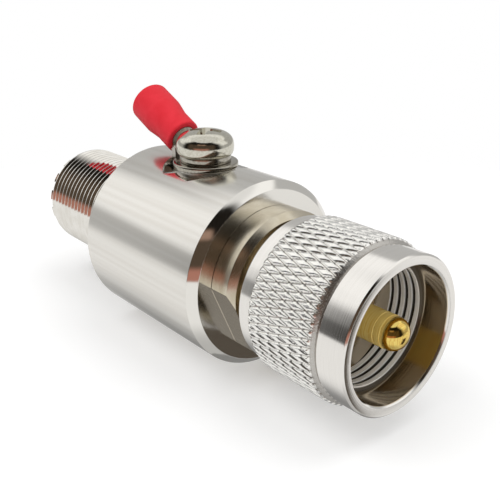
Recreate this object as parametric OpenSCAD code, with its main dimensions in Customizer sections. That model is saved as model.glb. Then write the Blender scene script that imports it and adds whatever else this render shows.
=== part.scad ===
// Coaxial lightning arrestor: a nickel-plated tube body with a threaded socket at one end, a plug with a
// knurled coupling nut at the other, a gas tube inside, and a ground terminal on top.
// The axis runs along X, with the plug at +X and the ground screw at +Z. Millimetres.
// The origin is the centre of the body's rear face, where the socket's thread starts.

/* [Body] */
// Outer diameter of the body
body_d = 24.7; // [23:0.1:30]
// Length of the body
body_l = 25; // [23:0.1:40]
// Chamfer round the body's front edge
front_chamfer = 1; // [0.2:0.1:1.4]
// Chamfer round the body's rear edge
rear_chamfer = 0.2; // [0.1:0.1:1.4]
// Bore through the body, which both end shells screw into
bore_d = 16.5; // [16.3:0.1:17]
// Length of each end shell inside the body
shank_l = 6.5; // [4:0.1:7.5]

/* [Socket] */
// Major diameter of the socket's thread
thread_d = 15.875; // [15.6:0.005:16]
// Length of the socket behind the body
socket_l = 21.1; // [16:0.1:26]
// Chamfer at the thread's end
thread_chamfer = 0.2; // [0.1:0.05:0.5]
// Pitch of the thread
thread_pitch = 1.058; // [0.8:0.002:1.6]
// Depth of the thread
thread_depth = 0.57; // [0.2:0.01:0.65]
// Length of the plain land between the thread and the body
thread_land = 0.5; // [0.2:0.1:1.5]
// Diameter of the recess in the socket's mouth
mouth_d = 12.2; // [11.4:0.1:13]
// Depth of the recess in the socket's mouth
mouth_depth = 2.6; // [1.5:0.1:5]
// Diameter of the lip that holds the socket's insulator
lip_d = 10.4; // [9:0.1:11]
// Thickness of that lip
lip_w = 2; // [1:0.1:4]
// Outer diameter of the socket's insulator
insulator_d = 13.2; // [12.4:0.1:14]
// Number of notches round the socket's rim
notch_count = 16; // [8:1:20]
// Width of a notch
notch_w = 1.5; // [0.8:0.1:2]
// Depth of a notch
notch_depth = 0.9; // [0.4:0.1:1.4]

/* [Plug] */
// Diameter of the collar in front of the body
collar_d = 18.7; // [17.5:0.1:20]
// Length of the collar
collar_l = 3.7; // [2.5:0.1:8]
// Chamfer at the collar's front
collar_chamfer = 0.8; // [0.2:0.1:1.5]
// Width across the collar's two wrench flats
flats_w = 16.3; // [15:0.1:17.4]
// Turn of the flats' normal from the Y axis
flats_angle = 23.6; // [0:0.1:90]
// Diameter of the neck that the nut turns on
neck_d = 13.9; // [13:0.1:14.2]
// Diameter of the nose that enters a mating socket
nose_d = 11.8; // [11:0.1:12.4]
// Length of the nose
nose_l = 1.2; // [0.6:0.1:3]
// Bore of the nose
nose_bore_d = 9.8; // [8.5:0.1:10.4]
// Outer diameter of the plug's insulator
plug_core_d = 12; // [11:0.1:12.6]
// Number of teeth on the shoulder round the nose
tooth_count = 2; // [2:2:4]
// Width of a tooth
tooth_w = 1.4; // [0.6:0.1:2]
// Height of a tooth
tooth_h = 0.6; // [0.3:0.1:1]

/* [Coupling nut] */
// Outer diameter of the nut's smooth bands
nut_d = 18.8; // [18.4:0.1:21]
// Length of the nut
nut_l = 16.4; // [15:0.1:24]
// Gap between the collar and the nut
nut_gap = 1.5; // [0.2:0.1:2]
// Chamfer round the nut's outer edges
nut_chamfer = 0.2; // [0.1:0.05:0.5]
// Length of the lip at the nut's rear
nut_lip_l = 2.2; // [2:0.1:4]
// Bore of the relief behind the nut's thread
relief_d = 16.1; // [15.9:0.1:16.5]
// Minor diameter of the nut's thread
nut_minor_d = 14.8; // [14.6:0.05:15.1]
// Length of the nut's thread
nut_thread_l = 4.3; // [2:0.1:7]
// Diameter of the smooth counterbore ahead of the thread
counterbore_d = 16; // [15.9:0.1:16.3]
// Depth of that counterbore
counterbore_l = 3.7; // [1:0.1:5]
// Chamfer at the nut's mouth
mouth_chamfer = 0.23; // [0.1:0.01:0.4]
// Length of the smooth band at the nut's rear
rear_band_l = 2; // [1:0.1:4]
// Length of the smooth band at the nut's front
front_band_l = 3.85; // [2:0.05:6]
// Width of the groove between the knurl and the front band
nut_groove_w = 0.3; // [0.2:0.1:1]
// Diameter at the bottom of that groove
nut_groove_d = 18.3; // [17.8:0.1:18.5]
// Number of knurl diamonds round the nut
knurl_count = 62; // [40:1:80]
// Number of knurl diamonds along the nut
knurl_rows = 3; // [2:1:6]
// Height of the knurl's peaks above the smooth bands
knurl_rise = 0.6; // [0.4:0.05:0.8]
// Depth of the knurl from its peaks to its grooves
knurl_depth = 0.35; // [0.1:0.05:0.4]
// Chamfer at the knurl's front end
knurl_chamfer = 0.3; // [0.1:0.05:0.8]

/* [Retaining ring] */
// Width of the split ring that holds the nut on the neck
ring_w = 1; // [0.6:0.1:1.2]
// Depth of the ring's groove in the neck
neck_groove_depth = 0.55; // [0.3:0.05:0.8]
// Depth of the ring's groove in the nut
lip_groove_depth = 0.5; // [0.2:0.05:0.7]
// Gap in the ring
ring_split = 2.5; // [1:0.1:6]

/* [Inner conductor] */
// Diameter of the plug's pin
pin_d = 4; // [3.8:0.05:4.2]
// Diameter of the pin's shaft inside the plug's insulator
shaft_d = 4.8; // [4.4:0.1:6]
// Distance from the pin's tip back to the nut's mouth, less than 0 where the tip stands proud
tip_inset = -0.4; // [-1:0.1:3]
// Height of the dome at the pin's tip
dome_l = 1.6; // [0.3:0.05:1.9]
// Distance from the pin's tip to its groove
pin_groove_at = 2; // [1.5:0.1:4]
// Width of the pin's groove
pin_groove_w = 0.3; // [0.1:0.05:0.6]
// Depth of the pin's groove
pin_groove_depth = 0.25; // [0.05:0.05:0.4]
// Outer diameter of the socket's contact
contact_d = 5.6; // [5:0.1:6.2]
// Bore of the socket's contact
contact_bore_d = 4.06; // [3.9:0.01:4.3]
// Depth of the contact's bore
contact_bore_l = 16; // [10:0.1:18]
// Height of the contact above the insulator's face
contact_proud = 0.3; // [0.1:0.05:1]
// Number of spring fingers on the contact
finger_count = 4; // [2:2:6]
// Length of the slots between the fingers
finger_slot_l = 9; // [4:0.1:12]
// Width of those slots
finger_slot_w = 0.5; // [0.2:0.05:0.8]
// Diameter of the flange that seats the contact and the pin
flange_d = 6.8; // [6.2:0.1:8]
// Thickness of that flange
flange_t = 2; // [1:0.1:3]
// Diameter of the studs that join the conductor's pieces
stud_d = 2.5; // [1.6:0.1:3]
// Length of those studs
stud_l = 2.2; // [1:0.1:2.6]
// Diameter of the rod between the studs
rod_d = 5.2; // [4.6:0.1:6]

/* [Gas tube] */
// Diameter of the gas tube
tube_d = 5.5; // [4.5:0.1:6]
// Thickness of an end electrode
electrode_t = 0.9; // [0.5:0.1:1.2]
// Length of the ceramic between the electrodes
ceramic_l = 3.4; // [2.6:0.1:4]
// Wall of the ceramic
ceramic_wall = 1.05; // [0.6:0.05:1.3]
// Gap between the electrodes' faces inside the ceramic
spark_gap = 1.6; // [0.6:0.1:2]
// Clearance from an electrode's face to the ceramic
electrode_room = 0.5; // [0.2:0.05:0.8]
// Outer diameter of the disc spring
spring_d = 4.8; // [4.4:0.1:5.4]
// Inner diameter of the disc spring
spring_bore_d = 2.2; // [1.4:0.1:2.6]
// Sheet of the disc spring
spring_t = 0.25; // [0.15:0.05:0.4]
// Height of the disc spring
spring_h = 0.55; // [0.45:0.05:0.8]

/* [Ground terminal] */
// Place of the screw along X, from the middle of the body
screw_offset = -0.5; // [-2:0.1:2]
// Diameter of the screw
screw_d = 4; // [3:0.1:4.4]
// Length of the screw under its head
screw_l = 6; // [5.4:0.1:7]
// Chamfer at the screw's point
point_chamfer = 0.4; // [0.1:0.05:0.6]
// Diameter of the screw's head
head_d = 7.7; // [6.8:0.1:8]
// Height of the screw's head
head_h = 3.2; // [2:0.1:3.4]
// Height of the head's widest round above its seat
head_edge = 1; // [0.5:0.1:1.4]
// Fullness of the head's dome: 1 is an ellipse, less is fuller
head_power = 0.73; // [0.6:0.01:1]
// Rounding of the head under its widest round
head_foot = 0.35; // [0.1:0.05:0.5]
// Length of each arm of the cross recess
recess_l = 4.4; // [3:0.1:5]
// Width of each arm of the cross recess
recess_w = 0.9; // [0.5:0.1:1.2]
// Depth of the cross recess
recess_depth = 1.4; // [0.6:0.1:1.8]
// Depth of the round spot face that the terminal seats on
spot_depth = 1.2; // [0.6:0.1:1.6]
// Outer diameter of the lock washer
lock_d = 6.9; // [6.2:0.1:7.6]
// Thickness of the lock washer
lock_t = 0.95; // [0.6:0.05:1.2]
// Gap in the lock washer
lock_split = 0.6; // [0.3:0.1:1.2]
// Slant of that gap
lock_slant = 20; // [0:1:35]
// Turn of that gap from the X axis
lock_turn = 110; // [0:1:359]
// Outer diameter of the flat washer
washer_d = 8.8; // [8:0.1:9.4]
// Bore of the flat washer
washer_bore_d = 4.3; // [4.2:0.1:4.8]
// Thickness of the flat washer
washer_t = 0.7; // [0.4:0.05:1]
// Outer diameter of the terminal's ring
lug_d = 8; // [7.2:0.1:8.6]
// Hole of the terminal's ring
lug_hole_d = 4.3; // [4.2:0.1:4.8]
// Sheet of the terminal
lug_t = 0.75; // [0.5:0.05:1]
// Width of the terminal's tongue
tongue_w = 3.2; // [2.4:0.1:3.4]
// Inner radius of the tongue's bends
bend_r = 0.3; // [0.15:0.05:0.5]
// Height of the tongue's upright part
tongue_rise = 0.8; // [0.6:0.05:2]
// Tilt of the wire barrel above the ring's plane
barrel_tilt = 25.4; // [10:0.1:45]
// Outer diameter of the wire barrel
barrel_d = 3.4; // [3.2:0.1:4]
// Length of the wire barrel
barrel_l = 5.6; // [4:0.1:7]
// Outer diameter of the sleeve over the barrel
sleeve_d = 5.05; // [4.4:0.05:5.2]
// Length of the sleeve
sleeve_l = 9; // [8:0.1:12]
// Length of the sleeve before it flares
sleeve_neck_l = 3; // [2:0.1:4]
// Length of the sleeve's flare
sleeve_flare_l = 2.2; // [1:0.1:3]
// Outer diameter of the sleeve's wire end
funnel_d = 5.8; // [5.3:0.05:6.4]
// Wall of the sleeve's wire end
funnel_wall = 0.55; // [0.3:0.05:0.9]
// Chamfer round the sleeve's ends
sleeve_chamfer = 0.25; // [0.05:0.05:0.25]
// Distance that the barrel shows ahead of the sleeve
barrel_show = 0.05; // [0.05:0.05:0.8]

/* [Fits] */
// Radial clearance of what turns
run_fit = 0.05; // [0.02:0.01:0.1]
// Radial clearance of what is pressed or screwed in
snug_fit = 0.02; // [0.01:0.01:0.05]
// Room round the contact's fingers
finger_room = 0.2; // [0.1:0.05:0.4]
// Room between the flat washer and the tongue
bend_room = 0.35; // [0.31:0.01:0.8]
// Room between the tongue and the spot face's wall
spot_room = 0.3; // [0.2:0.05:1]
// Room between the nut's lip and the shoulder of the nose
shoulder_room = 0.3; // [0.1:0.05:1]

/* [Hidden] */
$fn = 96;
// Cuts reach this far past the faces that they open
over = 1;
// The knurled band is sunk this far into the nut
sink = 0.25;
// The gas tube's seat stays at least this far above the axis
seat_min = 0.5;
// The thread's root stays at least this far outside the socket's insulator
thread_wall = 0.3;
// The pin's groove stays at least this far behind its dome
pin_land = 0.1;

// Radii of the shells
body_r = body_d/2;
bore_r = bore_d/2;
shank_r = bore_r - snug_fit;
thread_r = thread_d/2;
core_r = insulator_d/2;
root_r = max(thread_r - thread_depth, core_r + thread_wall);
collar_r = collar_d/2;
neck_r = neck_d/2;
nose_r = nose_d/2;
nut_r = nut_d/2;
lip_bore_r = neck_r + run_fit;
lip_groove_r = lip_bore_r + lip_groove_depth;
neck_groove_r = neck_r - neck_groove_depth;
knurl_peak_r = nut_r + knurl_rise;
knurl_root_r = knurl_peak_r - knurl_depth;
knurl_base_r = nut_groove_d/2;

// Places along X
insulator_front = -socket_l + mouth_depth;
lip_back = insulator_front + lip_w;
chamber_rear = shank_l;
chamber_front = body_l - shank_l;
collar_front = body_l + collar_l;
nut_rear = collar_front + nut_gap;
nut_front = nut_rear + nut_l;
ring_mid = nut_rear + nut_lip_l/2;
shoulder_x = nut_rear + nut_lip_l + shoulder_room;
nose_front = shoulder_x + nose_l;
counterbore_x = nut_front - counterbore_l;
nut_thread_x = counterbore_x - nut_thread_l;
knurl_start = nut_rear + rear_band_l;
band_rear = nut_front - front_band_l;
knurl_end = band_rear - nut_groove_w;
pin_tip = nut_front - tip_inset;
screw_x = body_l/2 + screw_offset;

// Heights of the ground terminal and the gas tube under it
spot_z = body_r - spot_depth;
lug_top = spot_z + lug_t;
washer_top = lug_top + washer_t;
head_z = washer_top + lock_t;
point_z = head_z - screw_l;
tube_l = ceramic_l + 2*electrode_t;
tube_top = point_z - spring_h;
seat_z = tube_top - tube_l;

// The tongue, in its own frame: u runs from the screw to the wire, w up from the spot face
tongue_u = washer_d/2 + bend_room;
tongue_top = lug_t + bend_r + tongue_rise;
spot_r = tongue_u + lug_t + spot_room;
barrel_r = barrel_d/2;
barrel_bore_r = barrel_r - lug_t;

// Turns a profile of [x, radius] points round the X axis
module turned(profile) {
    rotate([0, 90, 0]) rotate([0, 0, 180]) rotate_extrude()
        polygon([for (p = profile) [p[1], p[0]]]);
}

// A cylinder along X from x = a to x = b
module rod_x(a, b, r) {
    translate([a, 0, 0]) rotate([0, 90, 0]) cylinder(h = b - a, r = r);
}

// Copies a piece round the X axis
module round_x(count) {
    for (i = [0:count - 1]) rotate([i*360/count, 0, 0]) children();
}

// Places a piece on the screw's axis, at height z
module on_screw(z) {
    translate([screw_x, 0, z]) children();
}

module body_shell() {
    color("silver") difference() {
        turned([[0, bore_r], [0, body_r - rear_chamfer], [rear_chamfer, body_r],
                [body_l - front_chamfer, body_r], [body_l, body_r - front_chamfer], [body_l, bore_r]]);
        on_screw(spot_z) cylinder(h = spot_depth + over, r = spot_r);
        on_screw(0) cylinder(h = body_r, r = screw_d/2 + run_fit);
        // A thick wall takes the top of the gas tube in a pocket
        on_screw(0) cylinder(h = point_z, r = tube_d/2 + snug_fit);
    }
}

// The socket's thread as rings at its pitch: a crest is an eighth of the pitch wide, a root a quarter
function thread_rings() =
    let (crest = thread_pitch/8, root = thread_pitch/4, flank = (thread_pitch - crest - root)/2,
         turns = floor((socket_l - thread_chamfer - thread_land - crest)/thread_pitch))
    [for (i = [turns:-1:1], p = [[0, thread_r], [flank, root_r], [flank + root, root_r],
                                 [2*flank + root, thread_r]])
        [p[0] - thread_land - i*thread_pitch, p[1]]];

module socket_shell() {
    color("silver") difference() {
        turned(concat(
            [[-socket_l, mouth_d/2], [-socket_l, thread_r - thread_chamfer],
             [-socket_l + thread_chamfer, thread_r]],
            thread_rings(),
            [[0, thread_r], [0, shank_r], [chamber_rear, shank_r], [chamber_rear, core_r],
             [lip_back, core_r], [lip_back, lip_d/2], [insulator_front, lip_d/2],
             [insulator_front, mouth_d/2]]));
        round_x(notch_count)
            translate([-socket_l - over, -notch_w/2, mouth_d/2 - over])
                cube([notch_depth + over, notch_w, thread_r - mouth_d/2 + 2*over]);
    }
}

module plug_shell() {
    groove_half = ring_w/2 + snug_fit;
    color("silver") difference() {
        union() {
            turned([[chamber_front, plug_core_d/2], [chamber_front, shank_r], [body_l, shank_r],
                    [body_l, collar_r], [collar_front - collar_chamfer, collar_r],
                    [collar_front, collar_r - collar_chamfer], [collar_front, neck_r],
                    [ring_mid - groove_half, neck_r], [ring_mid - groove_half, neck_groove_r],
                    [ring_mid + groove_half, neck_groove_r], [ring_mid + groove_half, neck_r],
                    [shoulder_x, neck_r], [shoulder_x, nose_r], [nose_front, nose_r],
                    [nose_front, nose_bore_d/2], [collar_front, nose_bore_d/2],
                    [collar_front, plug_core_d/2]]);
            intersection() {
                round_x(tooth_count)
                    translate([shoulder_x - tooth_h, -tooth_w/2, nose_bore_d/2 + snug_fit])
                        cube([2*tooth_h, tooth_w, neck_r]);
                rod_x(shoulder_x - tooth_h, shoulder_x + tooth_h, neck_r);
            }
        }
        rotate([flats_angle, 0, 0]) for (side = [0, 180]) rotate([side, 0, 0])
            translate([body_l, flats_w/2, -collar_r]) cube([collar_l, collar_r, collar_d]);
    }
}

// The knurled band: a ring whose outer face is a grid of diamonds, each raised to a point in its middle
module knurled_band() {
    around = 2*knurl_count;
    along = 2*knurl_rows;
    pitch = (knurl_end - knurl_chamfer - knurl_start)/along;
    function point(r, i, x) = [x, r*cos(i*360/around), r*sin(i*360/around)];
    function height(i, j) = (i + j) % 2 == 0 ? knurl_root_r : knurl_peak_r;
    function at(row, i) = row*around + i % around;
    outer = [for (j = [0:along], i = [0:around - 1]) point(height(i, j), i, knurl_start + j*pitch)];
    sunk = [for (x = [knurl_start - sink, knurl_end], i = [0:around - 1])
        point(knurl_base_r - sink, i, x)];
    rear = along + 1;
    front = along + 2;
    function quad(a, b, c, d) = [[a, b, c], [a, c, d]];
    // A groove point is joined to the next row's groove points, so that each diamond gets four faces
    function patch(i, j) = (i + j) % 2 == 0
        ? [[at(j, i), at(j + 1, i), at(j, i + 1)], [at(j, i + 1), at(j + 1, i), at(j + 1, i + 1)]]
        : [[at(j, i), at(j + 1, i), at(j + 1, i + 1)], [at(j, i), at(j + 1, i + 1), at(j, i + 1)]];
    faces = [
        for (j = [0:along - 1], i = [0:around - 1], f = patch(i, j)) f,
        for (i = [0:around - 1], f = concat(
            quad(at(rear, i), at(0, i), at(0, i + 1), at(rear, i + 1)),
            quad(at(along, i), at(front, i), at(front, i + 1), at(along, i + 1)),
            quad(at(front, i), at(rear, i), at(rear, i + 1), at(front, i + 1)))) f];
    polyhedron(concat(outer, sunk), faces);
}

module coupling_nut() {
    groove_half = ring_w/2 + run_fit;
    color("silver") union() {
        turned([[nut_rear, lip_bore_r], [nut_rear, nut_r - nut_chamfer], [nut_rear + nut_chamfer, nut_r],
                [knurl_start, nut_r], [knurl_start, knurl_base_r], [band_rear, knurl_base_r],
                [band_rear, nut_r], [nut_front - nut_chamfer, nut_r], [nut_front, nut_r - nut_chamfer],
                [nut_front, counterbore_d/2 + mouth_chamfer],
                [nut_front - mouth_chamfer, counterbore_d/2], [counterbore_x, counterbore_d/2],
                [counterbore_x, nut_minor_d/2], [nut_thread_x, nut_minor_d/2],
                [nut_thread_x, relief_d/2], [nut_rear + nut_lip_l, relief_d/2],
                [nut_rear + nut_lip_l, lip_bore_r], [ring_mid + groove_half, lip_bore_r],
                [ring_mid + groove_half, lip_groove_r], [ring_mid - groove_half, lip_groove_r],
                [ring_mid - groove_half, lip_bore_r]]);
        knurled_band();
    }
}

module nut_retaining_ring() {
    inner_r = neck_groove_r + snug_fit;
    outer_r = lip_groove_r - run_fit;
    color("gray") difference() {
        turned([[ring_mid - ring_w/2, inner_r], [ring_mid - ring_w/2, outer_r],
                [ring_mid + ring_w/2, outer_r], [ring_mid + ring_w/2, inner_r]]);
        translate([ring_mid - ring_w, -ring_split/2, -outer_r - over])
            cube([2*ring_w, ring_split, outer_r + over]);
    }
}

module socket_insulator() {
    finger_r = contact_d/2 + finger_room;
    seat_x = chamber_rear - flange_t;
    color("ivory")
        turned([[insulator_front, finger_r], [insulator_front, lip_d/2 - snug_fit],
                [lip_back, lip_d/2 - snug_fit], [lip_back, core_r - snug_fit],
                [chamber_rear, core_r - snug_fit], [chamber_rear, flange_d/2 + snug_fit],
                [seat_x, flange_d/2 + snug_fit], [seat_x, finger_r]]);
}

module socket_contact() {
    front = insulator_front - contact_proud;
    color("goldenrod") difference() {
        turned([[front, 0], [front, contact_d/2], [chamber_rear - flange_t, contact_d/2],
                [chamber_rear - flange_t, flange_d/2], [chamber_rear, flange_d/2],
                [chamber_rear, stud_d/2], [chamber_rear + stud_l, stud_d/2], [chamber_rear + stud_l, 0]]);
        rod_x(front - over, front + contact_bore_l, contact_bore_d/2);
        round_x(finger_count)
            translate([front - over, -finger_slot_w/2, 0])
                cube([finger_slot_l + over, finger_slot_w, contact_d]);
    }
}

module inner_conductor() {
    pad_r = tube_d/2;
    color("goldenrod") difference() {
        union() {
            rod_x(chamber_rear, chamber_front, rod_d/2);
            on_screw(0) cylinder(h = max(seat_z, seat_min), r = min(pad_r, rod_d/2));
        }
        rod_x(chamber_rear - over, chamber_rear + stud_l + snug_fit, stud_d/2 + snug_fit);
        rod_x(chamber_front - stud_l - snug_fit, chamber_front + over, stud_d/2 + snug_fit);
        on_screw(seat_z) cylinder(h = body_r, r = pad_r + snug_fit);
    }
}

module center_pin() {
    pin_r = pin_d/2;
    groove_front = pin_tip - max(pin_groove_at - pin_groove_w, dome_l + pin_land);
    function dome(a) = [pin_tip - dome_l*(1 - sin(a)), pin_r*cos(a)];
    color("gold") turned(concat(
        [[chamber_front - stud_l, 0], [chamber_front - stud_l, stud_d/2], [chamber_front, stud_d/2],
         [chamber_front, flange_d/2], [chamber_front + flange_t, flange_d/2],
         [chamber_front + flange_t, shaft_d/2], [nose_front, shaft_d/2], [nose_front, pin_r],
         [groove_front - pin_groove_w, pin_r],
         [groove_front - pin_groove_w, pin_r - pin_groove_depth],
         [groove_front, pin_r - pin_groove_depth], [groove_front, pin_r]],
        [for (a = [0:15:75]) dome(a)],
        [[pin_tip, 0]]));
}

module plug_insulator() {
    bore = shaft_d/2 + snug_fit;
    seat_x = chamber_front + flange_t;
    color("ivory")
        turned([[chamber_front, flange_d/2 + snug_fit], [chamber_front, plug_core_d/2 - snug_fit],
                [collar_front, plug_core_d/2 - snug_fit], [collar_front, nose_bore_d/2 - snug_fit],
                [nose_front, nose_bore_d/2 - snug_fit], [nose_front, bore], [seat_x, bore],
                [seat_x, flange_d/2 + snug_fit]]);
}

module tube_carrier() {
    color("white") difference() {
        rod_x(chamber_rear, chamber_front, shank_r);
        rod_x(chamber_rear - over, chamber_front + over, rod_d/2 + snug_fit);
        on_screw(min(seat_z, 0)) cylinder(h = body_r, r = tube_d/2 + snug_fit);
    }
}

module tube_ceramic() {
    color("mistyrose") on_screw(seat_z + electrode_t) difference() {
        cylinder(h = ceramic_l, r = tube_d/2);
        translate([0, 0, -over]) cylinder(h = ceramic_l + 2*over, r = tube_d/2 - ceramic_wall);
    }
}

// An electrode: an end cap with a stub that reaches into the ceramic
module electrode() {
    stub_l = (ceramic_l - spark_gap)/2;
    cylinder(h = electrode_t, r = tube_d/2);
    cylinder(h = electrode_t + stub_l, r = tube_d/2 - ceramic_wall - electrode_room);
}

module tube_upper_electrode() {
    color("lightgray") on_screw(tube_top) mirror([0, 0, 1]) electrode();
}

module tube_lower_electrode() {
    color("lightgray") on_screw(seat_z) electrode();
}

module tube_disc_spring() {
    color("gray") on_screw(tube_top) rotate_extrude()
        polygon([[spring_d/2, 0], [spring_d/2, spring_t], [spring_bore_d/2, spring_h],
                 [spring_bore_d/2, spring_h - spring_t]]);
}

module ground_screw() {
    head_r = head_d/2;
    dome_h = head_h - head_edge;
    function pan(a) = [head_r*pow(cos(a), head_power), head_edge + dome_h*pow(sin(a), head_power)];
    color("silver") difference() {
        union() {
            on_screw(head_z) rotate_extrude()
                polygon(concat([[0, 0], [head_r - head_foot, 0], [head_r, head_foot]],
                               [for (a = [0:10:80]) pan(a)], [[0, head_h]]));
            on_screw(point_z) {
                cylinder(h = point_chamfer, r1 = screw_d/2 - point_chamfer, r2 = screw_d/2);
                translate([0, 0, point_chamfer]) cylinder(h = screw_l - point_chamfer, r = screw_d/2);
            }
        }
        on_screw(head_z + head_h - recess_depth) for (turn = [0, 90]) rotate([0, 0, turn])
            translate([-recess_l/2, -recess_w/2, 0]) cube([recess_l, recess_w, recess_depth + over]);
    }
}

module lock_washer() {
    color("silver") on_screw(washer_top) difference() {
        cylinder(h = lock_t, r = lock_d/2);
        translate([0, 0, -over]) cylinder(h = lock_t + 2*over, r = screw_d/2 + run_fit);
        translate([0, 0, lock_t/2]) rotate([0, 0, lock_turn]) rotate([lock_slant, 0, 0])
            translate([0, -lock_split/2, -lock_t - over]) cube([lock_d, lock_split, 2*(lock_t + over)]);
    }
}

module flat_washer() {
    color("silver") on_screw(lug_top) difference() {
        cylinder(h = washer_t, r = washer_d/2);
        translate([0, 0, -over]) cylinder(h = washer_t + 2*over, r = washer_bore_d/2);
    }
}

// Places a piece of the terminal in the tongue's frame, with u along X and w along Z
module on_tongue() {
    on_screw(spot_z) rotate([0, 0, 180]) children();
}

// A bend in the tongue about a line along Y: from angle a, through turn degrees, seen with u right and w up
module tongue_bend(u, w, a, turn) {
    translate([u, 0, w]) rotate([90, 0, 0]) rotate([0, 0, a]) rotate_extrude(angle = turn)
        translate([bend_r, -tongue_w/2]) square([lug_t, tongue_w]);
}

// Places a piece along the wire barrel, with its axis along Z
module on_barrel(start) {
    on_tongue() translate([tongue_u + lug_t + bend_r, 0, tongue_top]) rotate([0, 90 - barrel_tilt, 0])
        translate([-bend_r - barrel_r, 0, start]) children();
}

module ring_terminal() {
    // The flanks run from the ring to the tongue's corners, touching the ring
    corner_u = tongue_u - bend_r;
    reach = norm([corner_u, tongue_w/2]);
    touch_a = atan2(tongue_w/2, corner_u) + acos(min(1, lug_d/2/reach));
    touch = lug_d/2*[cos(touch_a), sin(touch_a)];
    color("lightgray") difference() {
        union() {
            on_tongue() {
                cylinder(h = lug_t, r = lug_d/2);
                linear_extrude(lug_t)
                    polygon([[0, 0], [touch.x, -touch.y], [corner_u, -tongue_w/2],
                             [corner_u, tongue_w/2], touch]);
                tongue_bend(corner_u, lug_t + bend_r, -90, 90);
                translate([tongue_u, -tongue_w/2, lug_t + bend_r])
                    cube([lug_t, tongue_w, tongue_rise]);
                tongue_bend(tongue_u + lug_t + bend_r, tongue_top, 90 + barrel_tilt, 90 - barrel_tilt);
            }
            on_barrel(0) {
                cylinder(h = barrel_l, r = barrel_r);
                translate([barrel_r - lug_t, -tongue_w/2, 0]) cube([lug_t, tongue_w, barrel_show]);
            }
        }
        on_screw(spot_z - over) cylinder(h = lug_t + 2*over, r = lug_hole_d/2);
        on_barrel(0) translate([0, 0, -barrel_r]) cylinder(h = barrel_l + 2*barrel_r, r = barrel_bore_r);
    }
}

module terminal_sleeve() {
    funnel_l = sleeve_l - sleeve_neck_l - sleeve_flare_l;
    grip_l = barrel_l - barrel_show;
    bore_r = barrel_r + snug_fit;
    color("crimson") on_barrel(barrel_show) rotate_extrude()
        polygon([[bore_r, 0], [sleeve_d/2 - sleeve_chamfer, 0], [sleeve_d/2, sleeve_chamfer],
                 [sleeve_d/2, sleeve_neck_l], [funnel_d/2, sleeve_l - funnel_l],
                 [funnel_d/2, sleeve_l - sleeve_chamfer], [funnel_d/2 - sleeve_chamfer, sleeve_l],
                 [funnel_d/2 - funnel_wall, sleeve_l],
                 [bore_r, min(grip_l, sleeve_l - funnel_wall)]]);
}

body_shell();
socket_shell();
plug_shell();
coupling_nut();
nut_retaining_ring();
socket_insulator();
socket_contact();
inner_conductor();
center_pin();
plug_insulator();
tube_carrier();
tube_ceramic();
tube_upper_electrode();
tube_lower_electrode();
tube_disc_spring();
ground_screw();
lock_washer();
flat_washer();
ring_terminal();
terminal_sleeve();
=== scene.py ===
"""Coaxial lightning arrestor: the dressed pieces, their finishes, the studio and the camera."""
import math
from contextlib import contextmanager

import bmesh
import bpy
from mathutils import Matrix, Vector


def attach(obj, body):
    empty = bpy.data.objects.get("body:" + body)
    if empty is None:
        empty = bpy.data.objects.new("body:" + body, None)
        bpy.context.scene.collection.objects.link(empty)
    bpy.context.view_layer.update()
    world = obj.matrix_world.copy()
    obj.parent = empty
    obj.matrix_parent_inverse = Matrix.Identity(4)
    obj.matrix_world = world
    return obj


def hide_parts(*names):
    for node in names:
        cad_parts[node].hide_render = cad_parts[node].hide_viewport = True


MM = 0.001
TURN = 2 * math.pi
UPRIGHT = Matrix.Rotation(-math.pi / 2, 4, "Y")
WHITE = (1.0, 1.0, 1.0, 1.0)
BLACK = (0.0, 0.0, 0.0, 1.0)

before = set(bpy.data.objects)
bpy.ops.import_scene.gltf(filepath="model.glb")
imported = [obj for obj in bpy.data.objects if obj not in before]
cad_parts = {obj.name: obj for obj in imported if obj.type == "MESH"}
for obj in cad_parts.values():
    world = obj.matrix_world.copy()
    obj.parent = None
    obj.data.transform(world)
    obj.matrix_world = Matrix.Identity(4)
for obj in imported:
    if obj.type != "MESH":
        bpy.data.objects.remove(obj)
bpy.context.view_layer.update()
scene = bpy.context.scene
scene.view_settings.view_transform = "Standard"

# Sizes in millimetres: X along the connector, Z up the ground screw, whose axis stands at SCREW_X
SCREW_X = 12.0
OVERCUT = 1.0


def points(node):
    """A construction node's points, in mm."""
    return [v.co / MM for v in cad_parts[node].data.vertices]


def ends(values):
    """The least and the greatest value, to the micrometre."""
    return round(min(values), 3), round(max(values), 3)


def length_of(node):
    """Where a construction node starts and ends along the connector."""
    return ends([p.x for p in points(node)])


def height_of(node):
    """Where a construction node starts and ends along the screw."""
    return ends([p.z for p in points(node)])


def radii_of(node):
    """The least and greatest radius of a construction node about the connector's axis."""
    return ends([math.hypot(p.y, p.z) for p in points(node)])


def screw_radii_of(node):
    """The least and greatest radius of a construction node about the screw's axis."""
    return ends([math.hypot(p.x - SCREW_X, p.y) for p in points(node)])


# Body, with the seat of the plug's collar
_, BODY_L = length_of("body_shell")
BORE_R, BODY_R = radii_of("body_shell")
FRONT_CHAMFER = 1.0
REAR_CHAMFER = 0.2
SEAT_R = 8.05
SEAT_L = 0.3
SCREW_HOLE_R = 2.05
SPOT_Z = 11.15
SPOT_R = 5.8

# Socket
SOCKET_END, SHANK_L = length_of("socket_shell")
LIP_R, SHANK_R = radii_of("socket_shell")
INSULATOR_X, _ = length_of("socket_insulator")
THREAD_R = 7.9375
THREAD_DEPTH = 0.57
THREAD_BEVEL = 0.4
PITCH = 25.4 / 24
CORE_R = 6.6
MOUTH_R = 6.1
MOUTH_EASE = 0.1
LIP_BACK = -16.5
NOTCHES = 16
NOTCH_W = 1.5
NOTCH_H = 4.0
NOTCH_DEPTH = 0.9
NOTCH_AT = THREAD_R - 0.8

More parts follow.
